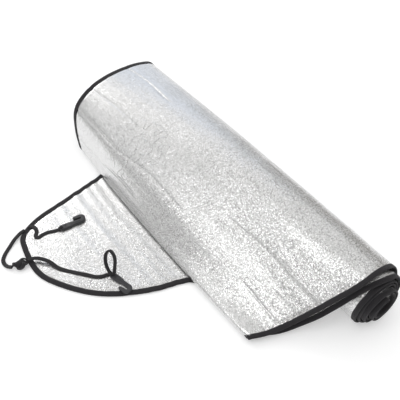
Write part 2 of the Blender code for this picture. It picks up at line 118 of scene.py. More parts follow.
# %% Woven elastic
ELASTIC_RIB = 0.0008
ELASTIC_YARN = 0.0006

woven_elastic, tree, shader = new_material("woven_elastic")
cut = add_node(tree, "ShaderNodeUVMap", {"uv_map": "cut"})
ribs = add_node(tree, "ShaderNodeTexWave", {"bands_direction": "Y"}, Vector=cut.outputs[0],
                Scale=math.pi / 10 / ELASTIC_RIB)
yarn = add_node(tree, "ShaderNodeTexWave", {"bands_direction": "X"}, Vector=cut.outputs[0],
                Scale=math.pi / 10 / ELASTIC_YARN)
weave = add_node(tree, "ShaderNodeMath", {"operation": "MULTIPLY_ADD"}, _0=ribs.outputs[1],
                 _1=0.7, _2=yarn.outputs[1])
fade = add_node(tree, "ShaderNodeTexNoise", Vector=cut.outputs[0], Scale=90.0, Detail=3.0)
shade = add_node(tree, "ShaderNodeMapRange", _0=weave.outputs[0], _1=0.0, _2=1.7, _3=0.25,
                 _4=0.85)
tone = add_node(tree, "ShaderNodeMix", {"data_type": "RGBA"}, Factor=shade.outputs[0],
                A=linear("151416"), B=linear("2d2b2e"))
wear_and_sparkle = add_node(tree, "ShaderNodeMix", {"data_type": "RGBA", "blend_type": "MULTIPLY"},
                Factor=0.35, A=tone.outputs[2], B=fade.outputs[0])
raised = add_node(tree, "ShaderNodeBump", Height=weave.outputs[0], Strength=0.6,
                  Distance=0.0003)
tree.links.new(wear_and_sparkle.outputs[2], shader.inputs["Base Color"])
tree.links.new(raised.outputs[0], shader.inputs["Normal"])
shader.inputs["Roughness"].default_value = 0.82
shader.inputs["IOR"].default_value = 1.5
shader.inputs["Sheen Weight"].default_value = 0.15
print("woven elastic: ribs", ELASTIC_RIB * 1000, "mm apart")

# %% [markdown]
# Curves through given points are centripetal Catmull-Rom curves, because they pass
# through every point and don't overshoot.

# %% Curves and meshes
def smooth_line(points, step, closed=False):
    """Points about a step apart on a smooth curve through the given ones, as an array."""
    p = np.array(points, float)
    count = len(p)
    found = []
    for k in range(count if closed else count - 1):
        if closed:
            p0, p1, p2, p3 = (p[(k + j) % count] for j in (-1, 0, 1, 2))
        else:
            p1, p2 = p[k], p[k + 1]
            p0 = p[k - 1] if k else 2 * p1 - p2
            p3 = p[k + 2] if k + 2 < count else 2 * p2 - p1
        t1 = np.linalg.norm(p1 - p0) ** 0.5
        t2 = t1 + np.linalg.norm(p2 - p1) ** 0.5
        t3 = t2 + np.linalg.norm(p3 - p2) ** 0.5
        pieces = max(1, math.ceil(np.linalg.norm(p2 - p1) / step))
        t = (t1 + (t2 - t1) * np.arange(pieces) / pieces)[:, None]
        a1 = p0 + (p1 - p0) * t / t1
        a2 = p1 + (p2 - p1) * (t - t1) / (t2 - t1)
        a3 = p2 + (p3 - p2) * (t - t2) / (t3 - t2)
        b1 = a1 + (a2 - a1) * t / t2
        b2 = a2 + (a3 - a2) * (t - t1) / (t3 - t1)
        found.append(b1 + (b2 - b1) * (t - t1) / (t2 - t1))
    if not closed:
        found.append(p[-1:])
    return np.concatenate(found)


def running_lengths(points):
    return np.concatenate([[0.0], np.cumsum(np.linalg.norm(np.diff(points, axis=0), axis=1))])


def unit_rows(rows):
    return rows / np.linalg.norm(rows, axis=1)[:, None]


def along(points, distances):
    """Points at the given distances along a run of points."""
    lengths = running_lengths(points)
    columns = [np.interp(distances, lengths, column) for column in points.T]
    return np.stack(columns, 1)


def add_mesh(name, verts, faces, material, uvs=None):
    """A smooth mesh object. uvs gives one pair for each vertex, in metres."""
    data = bpy.data.meshes.new(name)
    data.from_pydata([tuple(v) for v in verts], [], [tuple(f) for f in faces])
    if uvs is not None:
        layer = data.uv_layers.new(name="cut")
        corners = np.zeros(len(data.loops), np.int32)
        data.loops.foreach_get("vertex_index", corners)
        layer.data.foreach_set("uv", np.asarray(uvs, np.float32)[corners].ravel())
    data.shade_smooth()
    data.materials.append(material)
    piece = bpy.data.objects.new(name, data)
    bpy.context.scene.collection.objects.link(piece)
    return piece


print("a bend of 90 degrees:", len(smooth_line([(0, 0), (1, 0), (1, 1)], 0.1)), "points")

# %% [markdown]
# The routes are the ones the CAD has. Worn elastic looks fuller than new tape, so the straps
# are drawn a little wider and thicker than the CAD's.

# %% Strap sizes and routes
FOAM_THICKNESS = 0.0032
CLEARANCE = 0.0003
STRAP_WIDTH = 0.0065
STRAP_THICKNESS = 0.0016
PLUMP_WIDTH = 0.0074
PLUMP_THICKNESS = 0.0030
LAID = FOAM_THICKNESS + CLEARANCE + PLUMP_THICKNESS / 2

TIP_LOOP = (
    (-0.3985, 0.1400, LAID), (-0.4065, 0.1385, LAID), (-0.4140, 0.1350, LAID),
    (-0.4230, 0.1300, LAID), (-0.4371, 0.1208, 0.0026), (-0.4520, 0.1090, 0.0017),
    (-0.4595, 0.0990, 0.0016), (-0.4610, 0.0890, 0.0019), (-0.4585, 0.0785, 0.0040),
    (-0.4528, 0.0696, 0.0076),
)
LOWER_STRAP = (
    (-0.4224, 0.0664, 0.0098), (-0.4108, 0.0608, 0.0108), (-0.4014, 0.0514, 0.0103),
    (-0.3935, 0.0395, 0.0085), (-0.3865, 0.0206, 0.0055), (-0.3717, -0.0001, LAID),
    (-0.3541, -0.0207, LAID), (-0.3401, -0.0371, LAID), (-0.3310, -0.0418, LAID),
    (-0.3245, -0.0435, LAID), (-0.3205, -0.0445, LAID), (-0.3179, -0.0470, LAID),
)
LOWER_LOOP = (
    (-0.3177, -0.0523, 0.0099), (-0.3196, -0.0450, 0.0155), (-0.3190, -0.0371, 0.0237),
    (-0.3160, -0.0305, 0.0321), (-0.3106, -0.0265, 0.0398), (-0.3045, -0.0274, 0.0433),
    (-0.3017, -0.0330, 0.0398), (-0.3023, -0.0397, 0.0329), (-0.3057, -0.0452, 0.0252),
    (-0.3103, -0.0498, 0.0176), (-0.3143, -0.0540, 0.0099),
)
LOOP_FACES = (-0.88, -0.10, 0.46)
UPPER_STRAP = (
    (-0.3895, 0.1440, LAID), (-0.3820, 0.1380, 0.0055), (-0.3797, 0.1290, 0.0065),
    (-0.3830, 0.1210, 0.0052), (-0.3868, 0.1160, LAID), (-0.3880, 0.1112, LAID),
    (-0.3840, 0.1082, LAID), (-0.3770, 0.1095, LAID), (-0.3645, 0.1090, LAID),
    (-0.3530, 0.1045, LAID), (-0.3424, 0.1024, LAID),
)
print("strap drawn", PLUMP_WIDTH * 1000, "by", PLUMP_THICKNESS * 1000, "mm")

# %% [markdown]
# A flat strap is swept by hand: at each point of its smooth route a flat ring with soft edges
# is drawn, and the rings are joined. A curve with a bevel object would do too, but it twists in
# ways that are hard to steer at the standing loop.

# %% Sweep the straps
SECTION_POINTS = 24
SIDE_POWER, FACE_POWER = 0.45, 0.75
STRAP_STEP = 0.0015


def ring_faces(rings, size):
    """Quads that join successive rings of the same size."""
    faces = []
    for r in range(rings - 1):
        for k in range(size):
            after = (k + 1) % size
            low, high = r * size, (r + 1) * size
            faces.append((low + k, low + after, high + after, high + k))
    return faces


def capped_faces(rings, size):
    """The same quads, and a face on each end."""
    last = (rings - 1) * size
    return ring_faces(rings, size) + [tuple(range(size))[::-1], tuple(range(last, last + size))]


def strap_section(width=PLUMP_WIDTH, thickness=PLUMP_THICKNESS):
    """The strap's outline: gently crowned faces and round edges, as (across, up)."""
    points = []
    for k in range(SECTION_POINTS):
        a = 2 * math.pi * k / SECTION_POINTS
        x, y = math.cos(a), math.sin(a)
        points.append((width / 2 * math.copysign(abs(x) ** SIDE_POWER, x),
                       thickness / 2 * math.copysign(abs(y) ** FACE_POWER, y)))
    return points


def flat_strap(name, route, across=None, section=strap_section()):
    """A flat strap along a smooth route. It lies flat, or has its width the given way."""
    line = smooth_line(route, STRAP_STEP)
    headings = unit_rows(np.gradient(line, axis=0))
    far = running_lengths(line)
    verts, uvs = [], []
    for point, heading, distance in zip(line, headings, far):
        side = np.array(across) if across else np.cross(heading, (0, 0, 1))
        side = side - heading * side.dot(heading)
        side /= np.linalg.norm(side)
        up = np.cross(side, heading)
        for x, y in section:
            verts.append(point + side * x + up * y)
            uvs.append((distance, x))
    piece = add_mesh(name, verts, capped_faces(len(line), len(section)), woven_elastic, uvs)
    print(name, "length", round(far[-1] * 1000), "mm")
    return piece, line, far[-1]


for name, node, route, across, end in (
    ("tip_loop", "tip_loop_strap", TIP_LOOP, None, "knot"),
    ("lower_strap", "lower_hook_strap", LOWER_STRAP, None, "fitting"),
    ("lower_loop", "lower_hook_loop", LOWER_LOOP, LOOP_FACES, "object"),
    ("upper_strap", "upper_hook_strap", UPPER_STRAP, None, "fitting"),
):
    piece, line, length = flat_strap(name, route, across)
    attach(piece, "root")
    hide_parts(node)

# %% [markdown]
# The sheet was cut flat, sewn flat and then folded and rolled, so it is modelled the same
# way. A flat point has a place along the cover (u), a place across it (v) and a height in the
# foam. Below, the cover's side view is drawn as one long line: ear, floor, lower layer, roll,
# core, roll again, upper layer, fold and tucked ear. It changes slowly from the near edge,
# which lies low, to the far edge, which stands up in an arch.

# %% Side view: sizes
HALF_FOAM = FOAM_THICKNESS / 2
ROLL_TOP_RADIUS = 0.0548
ROLL_LAYER_SPACING = 0.0053
ROLL_CENTRE_X = -0.0105
ROLL_PITCH = 2 * ROLL_LAYER_SPACING
ROLL_CENTRE_Z = ROLL_TOP_RADIUS - ROLL_PITCH / 2 + HALF_FOAM
JOIN_ANGLE = 60.0
CORE_ANGLE = 1080.0
LEAD_IN_ANGLE = 30.0
DRAPE_LAYER_SPACING = 0.0058
FOLD_BULGE = 0.009
GAP_OPEN_BY = 0.3
CROWN = np.array((0.002, 0.005))
CROWN_SHARES = (0.7, 1.0, 0.9, 0.5, 0.2, 0.0, 0.0, 0.0)
DRAPE_NEAR = (
    (0.0220, 0.1050), (-0.0040, 0.1170), (-0.0390, 0.1100), (-0.0760, 0.0800),
    (-0.1150, 0.0450), (-0.1470, 0.0215), (-0.1740, 0.0136), (-0.2000, 0.0134),
)
DRAPE_FAR = (
    (0.0250, 0.1060), (-0.0090, 0.1215), (-0.0550, 0.1300), (-0.1050, 0.1322),
    (-0.1530, 0.1235), (-0.1890, 0.1000), (-0.2005, 0.0560), (-0.2005, 0.0120),
)
NEAR_END_HEADING = np.array((-0.028, 0.0))
FAR_END_HEADING = np.array((0.0, -0.044))
BEND_REACH = 0.012
SIDE_OFFSET = 0.003
SIDE_X = -0.200
EAR_LENGTH = 0.229
FOLD_TO_SIDE = 0.025
DRAPE_CURVE_STEP = 0.002
DRAPE_STEPS = 96
TUCK_SHARE = 11 / 13
FOLD_STEPS = 18
BEND_STEPS = 10
EAR_STEPS = 20
ROLL_STEP_ANGLE = 6.0
print("roll:", round((CORE_ANGLE - JOIN_ANGLE) / 360, 2), "turns, pitch", ROLL_PITCH * 1000, "mm")

# %% [markdown]
# The roll is a spiral of the doubled sheet, flattened where it rests on the floor. The upper
# layer leaves it and drapes over to the fold, along a curve between the near one and the far.

# %% Side view: roll and drape
def roll_point(angle, inward):
    """Points of the roll's spiral. The angle runs clockwise from the top, in degrees."""
    angle = np.asarray(angle, float)
    radius = ROLL_TOP_RADIUS - ROLL_PITCH * angle / 360 - inward
    a = np.radians(angle)
    z = ROLL_CENTRE_Z + radius * np.cos(a)
    z = np.maximum(z, HALF_FOAM + inward)
    return np.stack([ROLL_CENTRE_X + radius * np.sin(a), z], -1)


def outer_sides(line):
    """The side of each point of the line that faces out on the upper layer."""
    heading = unit_rows(np.gradient(line, axis=0))
    return np.stack([heading[:, 1], -heading[:, 0]], 1)


def drape_line(w):
    """The upper layer from the roll to the fold, w of the way from the near edge to the far."""
    bulge = FOLD_BULGE * 4 * w * (1 - w)
    last = len(DRAPE_NEAR) - 1
    join = roll_point(JOIN_ANGLE, 0)
    points = [roll_point(JOIN_ANGLE + LEAD_IN_ANGLE, 0), join]
    for k, (near, far) in enumerate(zip(DRAPE_NEAR, DRAPE_FAR)):
        point = np.array(near) * (1 - w) + np.array(far) * w
        point[0] -= bulge * max(0.0, (k - last + 3) / 3)
        points.append(point + CROWN * 4 * w * (1 - w) * CROWN_SHARES[k])
    end = points[-1]
    points.append(end + NEAR_END_HEADING * (1 - w) + FAR_END_HEADING * w)
    line = smooth_line(points, DRAPE_CURVE_STEP)
    start = np.argmin(np.linalg.norm(line - join, axis=1))
    stop = np.argmin(np.linalg.norm(line - end, axis=1))
    return line[start:stop + 1]


drape_lengths = [running_lengths(drape_line(w))[-1] for w in (0, 1)]
print("drape: near", round(drape_lengths[0], 3), "m, far", round(drape_lengths[1], 3), "m")

# %% [markdown]
# The lower layer runs inside the upper one, at a gap that opens away from the roll. At the
# core the doubled sheet turns back on itself, and beyond the fold the tucked ear lies between
# the layers.

# %% Side view: the whole line
def layer_gap(fraction):
    opened = np.minimum(1.0, fraction / GAP_OPEN_BY)
    return ROLL_LAYER_SPACING + (2 * DRAPE_LAYER_SPACING - ROLL_LAYER_SPACING) * opened


def floor_bend(start, heading):
    """From the lower layer's end, heading down, round to the floor."""
    floor_point = np.array((start[0] - BEND_REACH, HALF_FOAM))
    pulled = start + heading * BEND_REACH / 2
    pulled[1] = max(pulled[1], HALF_FOAM)
    held = floor_point + np.array((BEND_REACH / 2, 0))
    t = np.arange(1, BEND_STEPS + 1)[:, None] / BEND_STEPS
    return (start * (1 - t) ** 3 + pulled * 3 * t * (1 - t) ** 2 + held * 3 * t * t * (1 - t)
            + floor_point * t ** 3)


def core_turn():
    """The doubled sheet's own fold, at the core of the roll."""
    angle = math.radians(CORE_ANGLE)
    radial = np.array((math.sin(angle), math.cos(angle)))
    onward = np.array((radial[1], -radial[0]))
    half = ROLL_LAYER_SPACING / 2
    t = np.pi * np.arange(1, FOLD_STEPS)[:, None] / FOLD_STEPS
    return (roll_point(CORE_ANGLE, half) - radial * half * np.cos(t) + onward * half * np.sin(t))


def side_view(w):
    """The whole line, and where the loose ear's side, the core and the fold lie on it."""
    run = drape_line(w)
    fractions = np.linspace(0, 1, DRAPE_STEPS + 1)
    upper = along(run, fractions * running_lengths(run)[-1])
    sides = outer_sides(upper)
    gaps = layer_gap(fractions)[:, None]
    lower = upper - sides * gaps
    lower[:, 1] = np.maximum(lower[:, 1], HALF_FOAM)
    side, heading = sides[-1], np.array((-sides[-1][1], sides[-1][0]))
    half = DRAPE_LAYER_SPACING / 2
    t = np.pi * np.arange(1, FOLD_STEPS + 1)[:, None] / FOLD_STEPS
    fold = upper[-1] - side * half + side * half * np.cos(t) + heading * half * np.sin(t)
    tuck = (upper - sides * gaps / 2)[::-1][1:round(DRAPE_STEPS * TUCK_SHARE) + 1]
    bend = floor_bend(lower[-1], heading)
    tip = np.array((SIDE_X - EAR_LENGTH, HALF_FOAM))
    t = np.arange(1, EAR_STEPS + 1)[:, None] / EAR_STEPS
    ear = bend[-1] + (tip - bend[-1]) * t
    angles = np.arange(CORE_ANGLE, JOIN_ANGLE - 1, -ROLL_STEP_ANGLE)
    core = core_turn()
    parts = [ear[::-1], bend[::-1], lower[:0:-1], roll_point(angles[::-1], ROLL_LAYER_SPACING),
             core, roll_point(angles, 0), upper[1:], fold, tuck]
    counts = np.cumsum([len(p) for p in parts])
    loose = counts[1]
    core_middle = counts[3] + len(core) // 2
    fold_middle = counts[6] + FOLD_STEPS // 2
    return np.concatenate(parts), loose, core_middle, fold_middle


middle_view, loose_at, core_at, fold_at = side_view(0.5)
print("side view:", len(middle_view), "points,", round(running_lengths(middle_view)[-1], 3), "m")

# %% [markdown]
# The lay-out map turns flat points into places. It holds one side view for each of many lines
# across the cover and reads between them. Everything sewn to the sheet goes through the same
# map, so the binding stays on the foam's edge through every fold.

# %% The lay-out map
NEAR_V, FAR_V = -0.33, 0.32
OFF_FLOOR = 0.0001
ROWS = 40
views = [side_view(w)[0] for w in np.linspace(0, 1, ROWS + 1)]
line_grid = np.array(views)
side_grid = np.array([outer_sides(v) for v in views])
stations = running_lengths(middle_view)
LOOSE_SIDE = stations[loose_at] + SIDE_OFFSET
CORE = stations[core_at]
TUCKED_SIDE = stations[fold_at] + FOLD_TO_SIDE


def lay(u, v, height):
    """Places of flat points, as an array of (x, y, z)."""
    u, v, height = (np.atleast_1d(np.asarray(c, float)) for c in (u, v, height))
    column = np.interp(u, stations, np.arange(len(stations)))
    column = np.clip(column, 0, len(stations) - 1.001)
    row = np.clip((v - NEAR_V) / (FAR_V - NEAR_V), 0, 1) * ROWS * 0.99999
    c, r = column.astype(int), row.astype(int)
    s, t = (column - c)[:, None], (row - r)[:, None]
    found = 0
    for dr, wr in ((0, 1 - t), (1, t)):
        for dc, wc in ((0, 1 - s), (1, s)):
            place = line_grid[r + dr, c + dc] + side_grid[r + dr, c + dc] * height[:, None]
            found = found + place * wr * wc
    return np.stack([found[:, 0], v, np.maximum(found[:, 1], OFF_FLOOR)], 1)


print("sides at", round(LOOSE_SIDE, 3), "and", round(TUCKED_SIDE, 3), "m, core at", round(CORE, 3))

# %% [markdown]
# The cover's cut edge, as drawn on the flat foam: a wide panel with a rounded ear at each end.
# The lower half was folded a little askew, so its near edge peeps out below the upper one.

# %% The cut edge
NEAR_OUTLINE = (
    (-0.620, -0.3820), (-0.450, -0.3755), (-0.265, -0.3690), (-0.232, -0.3660),
    (-0.165, -0.3450), (-0.095, -0.3210), (-0.047, -0.3050), (-0.025, -0.2940),
    (-0.012, -0.2810), (-0.0035, -0.2580), (0.000, -0.2200), (0.001, -0.1830),
    (0.005, -0.1560), (0.018, -0.1420), (0.082, -0.1205), (0.156, -0.0775),
    (0.205, -0.0200), (0.229, 0.0320),
)
LOWER_HALF_REACH = (
    (0.000, 0.0000), (0.025, 0.0090), (0.100, 0.0215), (0.170, 0.0195), (0.240, 0.0165),
    (0.450, 0.0070), (0.800, 0.0000),
)
FAR_OUTLINE = (
    (0.225, 0.1060), (0.217, 0.1300), (0.183, 0.1540), (0.080, 0.1770),
    (0.015, 0.1920), (0.004, 0.2020), (0.001, 0.2260), (-0.002, 0.2550),
    (-0.010, 0.2720), (-0.025, 0.2830), (-0.050, 0.2910), (-0.100, 0.3040),
    (-0.160, 0.3170), (-0.220, 0.3290), (-0.280, 0.3400), (-0.340, 0.3490),
    (-0.450, 0.3560), (-0.620, 0.3650),
)
CORE_EDGES = (-0.3960, 0.3740)
NEAR_JOINT, FAR_JOINT = NEAR_OUTLINE[10][1], FAR_OUTLINE[6][1]
EDGE_STEP = 0.004


def cut_outline():
    """The edge, once round: the tucked half from near to far, and the loose half back."""
    near, far = np.array(NEAR_OUTLINE), np.array(FAR_OUTLINE)
    reach = np.array(LOWER_HALF_REACH)
    further = np.interp(-near[:, 0], reach[:, 0], reach[:, 1])
    tucked = np.concatenate([near, far]) + (TUCKED_SIDE, 0)
    lower_near = np.stack([LOOSE_SIDE - near[:, 0], near[:, 1] - further], 1)
    lower_far = np.stack([LOOSE_SIDE - far[:, 0], far[:, 1]], 1)
    lower = np.concatenate([lower_near, lower_far])[::-1]
    points = [[(CORE, CORE_EDGES[0])], tucked, [(CORE, CORE_EDGES[1])], lower]
    return smooth_line(np.concatenate(points), EDGE_STEP, closed=True)


def inward_sides(outline):
    """Directions from the edge into the sheet."""
    first = unit_rows(outline - np.roll(outline, 1, 0))
    heading = unit_rows(first + np.roll(first, -1, 0))
    return np.stack([-heading[:, 1], heading[:, 0]], 1)


outline = cut_outline()
inward = inward_sides(outline)
(us, vs), (next_us, next_vs) = outline.T, np.roll(outline, -1, 0).T

# %% [markdown]
# The foil is a polyester film with a flash of aluminium, laminated to polyethylene foam. It is
# a metal to the eye and fairly smooth, so it keeps the default IOR, and nearly all of its
# detail is in its bumps. Rolling it up draws the wrinkles out across the cover. They show more
# in some bands than in others, and more towards the near edge, so the sparkle gathers there.
# The same share sets how strongly glints are painted into the colour, further down.

# %% Aluminised film: where it sparkles
CRUMPLE = 0.014
STREAK = 0.016
BAND = 0.022
DRAWN_OUT = (1.0, 0.07, 1.0)

aluminised_film, tree, shader = new_material("aluminised_film")
cut = add_node(tree, "ShaderNodeUVMap", {"uv_map": "cut"}).outputs[0]
drawn_out = add_node(tree, "ShaderNodeVectorMath", {"operation": "MULTIPLY"}, _0=cut,
                     _1=DRAWN_OUT).outputs[0]
folds = add_node(tree, "ShaderNodeTexNoise", Vector=cut, Scale=1 / CRUMPLE, Detail=4.0,
                 Roughness=0.55, Distortion=0.6)
streaks = add_node(tree, "ShaderNodeTexNoise", Vector=drawn_out, Scale=1 / STREAK, Detail=2.0)
bands = add_node(tree, "ShaderNodeTexNoise", Vector=drawn_out, Scale=1 / BAND, Detail=1.0)
place = add_node(tree, "ShaderNodeSeparateXYZ", _0=cut)
near_share = add_node(tree, "ShaderNodeMapRange", {"interpolation_type": "SMOOTHSTEP"},
                      _0=place.outputs[1], _1=-0.10, _2=0.20, _3=1.0, _4=0.50)
band_share = add_node(tree, "ShaderNodeMapRange", _0=bands.outputs[0], _1=0.38, _2=0.58,
                      _3=0.60, _4=1.0)
# Sparkle share, in bands and towards the near edge: facet bump strength and painted glint contrast.
wear_and_sparkle = add_node(tree, "ShaderNodeMath", {"operation": "MULTIPLY"}, _0=band_share.outputs[0],
                _1=near_share.outputs[0]).outputs[0]
print("aluminised film: crumples", CRUMPLE * 1000, "mm, streaks", STREAK * 1000, "mm")

# %% [markdown]
# The film is covered in tiny flat facets that each mirror another part of the room: that is
# where its sparkle comes from. A cell texture gives each facet its own tilt, and its height is
# the tilt times the way from the facet's middle. Real facets are about half a millimetre wide.
# They are drawn twice as coarse, so that they show.

# %% Aluminised film: facets
FACET = 0.0011
FACET_TILT = 0.40

cells = add_node(tree, "ShaderNodeTexVoronoi", {"feature": "F1"}, Vector=cut, Scale=1 / FACET)
tilt = add_node(tree, "ShaderNodeVectorMath", {"operation": "SUBTRACT"}, _0=cells.outputs["Color"],
                _1=(0.5, 0.5, 0.5))
reach = add_node(tree, "ShaderNodeVectorMath", {"operation": "SUBTRACT"}, _0=cut,
                 _1=cells.outputs["Position"])
facets = add_node(tree, "ShaderNodeVectorMath", {"operation": "DOT_PRODUCT"}, _0=tilt.outputs[0],
                  _1=reach.outputs[0])
grains = add_node(tree, "ShaderNodeTexNoise", Vector=cut, Scale=1 / FACET, Detail=2.0)
print("aluminised film: facets", FACET * 1000, "mm")

# %% [markdown]
# One patch of the drape has a net of small wrinkles, where the cover was squeezed once. They
# lie where a soft noise crosses its middle value, and fade out round the patch.

# %% Aluminised film: wrinkled patch
WRINKLE = 0.020
WRINKLE_WIDTH = 0.028
PATCH_PLACE = (TUCKED_SIDE - 0.130, 0.115, 0.0)
PATCH_INSIDE, PATCH_OUTSIDE = 0.040, 0.085

wandering = add_node(tree, "ShaderNodeTexNoise", Vector=cut, Scale=1 / WRINKLE, Detail=0.0,
                     Distortion=0.4)
off_middle = add_node(tree, "ShaderNodeMath", {"operation": "SUBTRACT"}, _0=wandering.outputs[0],
                      _1=0.5)
off_middle = add_node(tree, "ShaderNodeMath", {"operation": "ABSOLUTE"}, _0=off_middle.outputs[0])
ridge = add_node(tree, "ShaderNodeMapRange", {"interpolation_type": "SMOOTHSTEP"},
                 _0=off_middle.outputs[0], _1=0.0, _2=WRINKLE_WIDTH, _3=1.0, _4=0.0)
from_patch = add_node(tree, "ShaderNodeVectorMath", {"operation": "DISTANCE"}, _0=cut,
                      _1=PATCH_PLACE)
patch = add_node(tree, "ShaderNodeMapRange", {"interpolation_type": "SMOOTHSTEP"},
                 _0=from_patch.outputs["Value"], _1=PATCH_INSIDE, _2=PATCH_OUTSIDE, _3=1.0, _4=0.0)
wrinkles = add_node(tree, "ShaderNodeMath", {"operation": "MULTIPLY"}, _0=ridge.outputs[0],
                    _1=patch.outputs[0])
print("aluminised film: wrinkles", WRINKLE * 1000, "mm apart in the patch")

# %% [markdown]
# The bumps are chained, from the finest to the broadest. Glints are painted into the colour:
# it is lighter and darker from speck to speck, most where the film sparkles most. The specks
# stand for facets a fraction of a millimetre wide too, and are also drawn coarser.

# %% Aluminised film: bumps and colour
SPECK = 0.0014

normal = {}
for height, strength, distance in (
    (facets.outputs["Value"], wear_and_sparkle, FACET_TILT),
    (grains.outputs[0], 0.15, 0.0010),
    (folds.outputs[0], 0.10, 0.003),
    (streaks.outputs[0], 0.3, 0.0035),
    (wrinkles.outputs[0], 0.9, 0.0011),
):
    bump = add_node(tree, "ShaderNodeBump", Height=height, Strength=strength,
                    Distance=distance, **normal)
    normal = {"Normal": bump.outputs[0]}
tree.links.new(bump.outputs[0], shader.inputs["Normal"])

# Painted glints: the colour goes lighter and darker speck by speck, to stand for sparkle.
specks = add_node(tree, "ShaderNodeTexVoronoi", {"feature": "F1"}, Vector=cut, Scale=1 / SPECK)
speck = add_node(tree, "ShaderNodeSeparateColor", _0=specks.outputs["Color"])
lighter = add_node(tree, "ShaderNodeMapRange", _0=speck.outputs[0], _1=0.0, _2=0.5, _3=0.0,
                   _4=1.0)
strength = add_node(tree, "ShaderNodeMapRange", _0=wear_and_sparkle, _1=0.3, _2=1.0, _3=0.35, _4=1.0)
painted_glints = add_node(tree, "ShaderNodeMix", {"data_type": "RGBA"}, Factor=lighter.outputs[0],
                    A=linear("b6b5b4"), B=linear("ebebeb"))
# The painted glints show more where the sparkle share is high.
tone = add_node(tree, "ShaderNodeMix", {"data_type": "RGBA"}, Factor=strength.outputs[0],
                A=linear("dedede"), B=painted_glints.outputs[2])
rough = add_node(tree, "ShaderNodeMapRange", _0=folds.outputs[0], _1=0.3, _2=0.7, _3=0.18,
                 _4=0.26)
tree.links.new(tone.outputs[2], shader.inputs["Base Color"])
tree.links.new(rough.outputs[0], shader.inputs["Roughness"])
shader.inputs["Metallic"].default_value = 1.0
print("aluminised film: specks", SPECK * 1000, "mm,", len(tree.nodes), "nodes")

# %% [markdown]
# Where the sheet isn't flat. Old fold lines run across the drape, parallel to the roll, and
# the foam swells a little between them; the ear has bands along its root. These are too large
# for a bump, because they change the outline, so they move the sheet itself. Heights are
# measured out of the cover on the drape and upwards on the ear.

# %% Creases and swells
# place along the cover from the tucked side, from v, to v, depth
DRAPE_CREASES = (
    (-0.247, 0.330, 0.170, 0.0018), (-0.161, 0.330, 0.150, 0.0018),
    (-0.108, 0.300, -0.030, 0.0018), (-0.156, -0.120, -0.340, 0.0016),
    (-0.086, -0.220, -0.310, 0.0014), (-0.060, 0.280, 0.060, 0.0014),
)
CREASE_WIDTH = 0.0020
CREASE_END = 0.02
DRAPE_STARTS, DRAPE_STOPS = (-0.42, -0.36), (-0.034, -0.026)
STEADY_RISE, WAVE_RISE, WAVE_SIZE = 0.0009, 0.0013, 0.050
DEEPEST = -0.0007
EAR_STARTS = (0.004, 0.016)
EAR_RISE, EAR_WAVE, BAND_WIDTH = 0.0010, 0.0009, 0.006
EAR_BANDS = ((0.020, 0.0011), (0.041, 0.0015), (0.058, 0.0010), (0.083, 0.0013), (0.121, 0.0009))


def smooth_step(x, low, high):
    t = np.clip((x - low) / (high - low), 0, 1)
    return t * t * (3 - 2 * t)


def wave_noise(u, v, size, seed):
    """Soft noise from -1 to 1, about a size across."""
    return np.array([noise.noise(Vector((a / size, b / size, seed))) for a, b in zip(u, v)])


def crease_line(place, v):
    return place + 0.003 * np.sin(v * 31 + place * 90)


def swell(u, v):
    """How far the sheet's middle lies off its smooth line, positive out of the cover."""
    u, v = np.asarray(u, float), np.asarray(v, float)
    past = u - TUCKED_SIDE
    on_drape = smooth_step(past, *DRAPE_STARTS) * (1 - smooth_step(past, *DRAPE_STOPS))
    lower = 1 - 0.6 * smooth_step(v, -0.10, 0.16)
    height = STEADY_RISE + WAVE_RISE * lower * wave_noise(u, v * 0.7, WAVE_SIZE, 1.7)
    for place, start, stop, depth in DRAPE_CREASES:
        low, high = min(start, stop), max(start, stop)
        here = smooth_step(v, low - CREASE_END, low + CREASE_END)
        here = here * (1 - smooth_step(v, high - CREASE_END, high + CREASE_END))
        off = np.abs((past - crease_line(place, v)) / CREASE_WIDTH)
        height = height - depth * here * np.exp(-off ** 1.3)
    out = np.maximum(height, DEEPEST) * on_drape
    from_side = LOOSE_SIDE - u
    bands = EAR_RISE + EAR_WAVE * wave_noise(u * 1.6, v * 0.5, 0.05, 5.2)
    for place, rise in EAR_BANDS:
        off = (from_side - place - 0.004 * np.sin(v * 17)) / BAND_WIDTH
        bands = bands + rise * np.exp(-off ** 2)
    return out - np.maximum(bands, 0) * smooth_step(from_side, *EAR_STARTS)


print("creases", len(DRAPE_CREASES), "and bands on the ear", len(EAR_BANDS))

# %% [markdown]
# The sheet's mesh. A grid of points is laid on the flat cut, close together where folds and
# creases show and wide apart deep in the roll, and joined with the edge into triangles. It
# has two faces and an edge, as the real foam has, and thins where the tape squeezes it.

# %% The sheet's points
TAPE_WIDTH = 0.0105
TAPE_WALL = 0.0005
SQUEEZED_HALF = HALF_FOAM - TAPE_WALL - CLEARANCE
EDGE_INSET = 0.0012
EDGE_FINE_STEP = 0.0012
GRID_MARGIN = TAPE_WIDTH + 0.0045
CREASE_ROW = 0.0018
CREASE_STEP = 0.0035
CREASE_CLEAR = 0.0042


def edge_distances(points):
    tree_of_edge = KDTree(len(fine_edge))
    for k, p in enumerate(fine_edge):
        tree_of_edge.insert((p[0], p[1], 0), k)
    tree_of_edge.balance()
    return np.array([tree_of_edge.find((p[0], p[1], 0))[2] for p in points])


def inside_cut(points):
    """Which flat points lie inside the cut edge, by counting crossings."""
    a, b = outline, np.roll(outline, -1, 0)
    hits = np.zeros(len(points), int)
    for (ax, ay), (bx, by) in zip(a, b):
        crosses = (ay > points[:, 1]) != (by > points[:, 1])
        if crosses.any():
            at = ax + (points[:, 1] - ay) * (bx - ax) / (by - ay + 1e-18)
            hits += crosses & (points[:, 0] < at)
    return hits % 2 == 1


